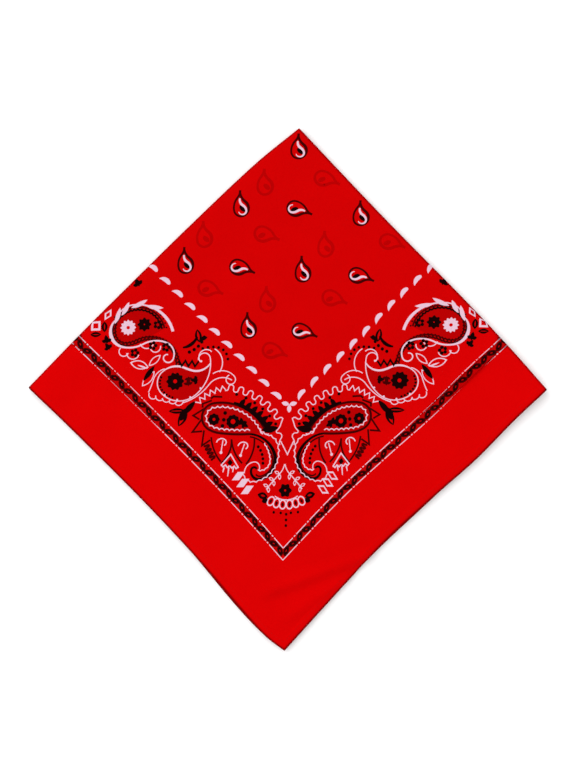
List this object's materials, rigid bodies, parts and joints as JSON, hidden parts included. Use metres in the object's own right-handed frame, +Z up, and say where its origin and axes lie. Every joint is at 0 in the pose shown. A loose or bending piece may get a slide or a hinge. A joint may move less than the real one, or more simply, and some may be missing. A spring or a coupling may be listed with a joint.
{
  "type": "bandana",
  "caption": "Square printed cotton bandana with narrow turned hems, folded into a quarter and laid flat as a diamond.",
  "frame": {"origin": "centre of the bounding box's footprint, on the face that rests on the table", "axes": "+Z up through the pile, +Y towards the corner between the two folds, +X towards the hemmed corner beside the paired folds"},
  "size_m": [0.3873, 0.3908, 0.0095],
  "materials": {
    "printed_cotton": "matt plain-weave cotton, red with a white and black print",
    "hem_cotton": "matt plain-weave cotton, plain red, turned twice and sewn"
  },
  "bodies": {
    "root": {"top_quarter": "printed_cotton", "under_layers": "printed_cotton", "hem_left": "hem_cotton", "hem_right": "hem_cotton"}
  },
  "joints": []
}
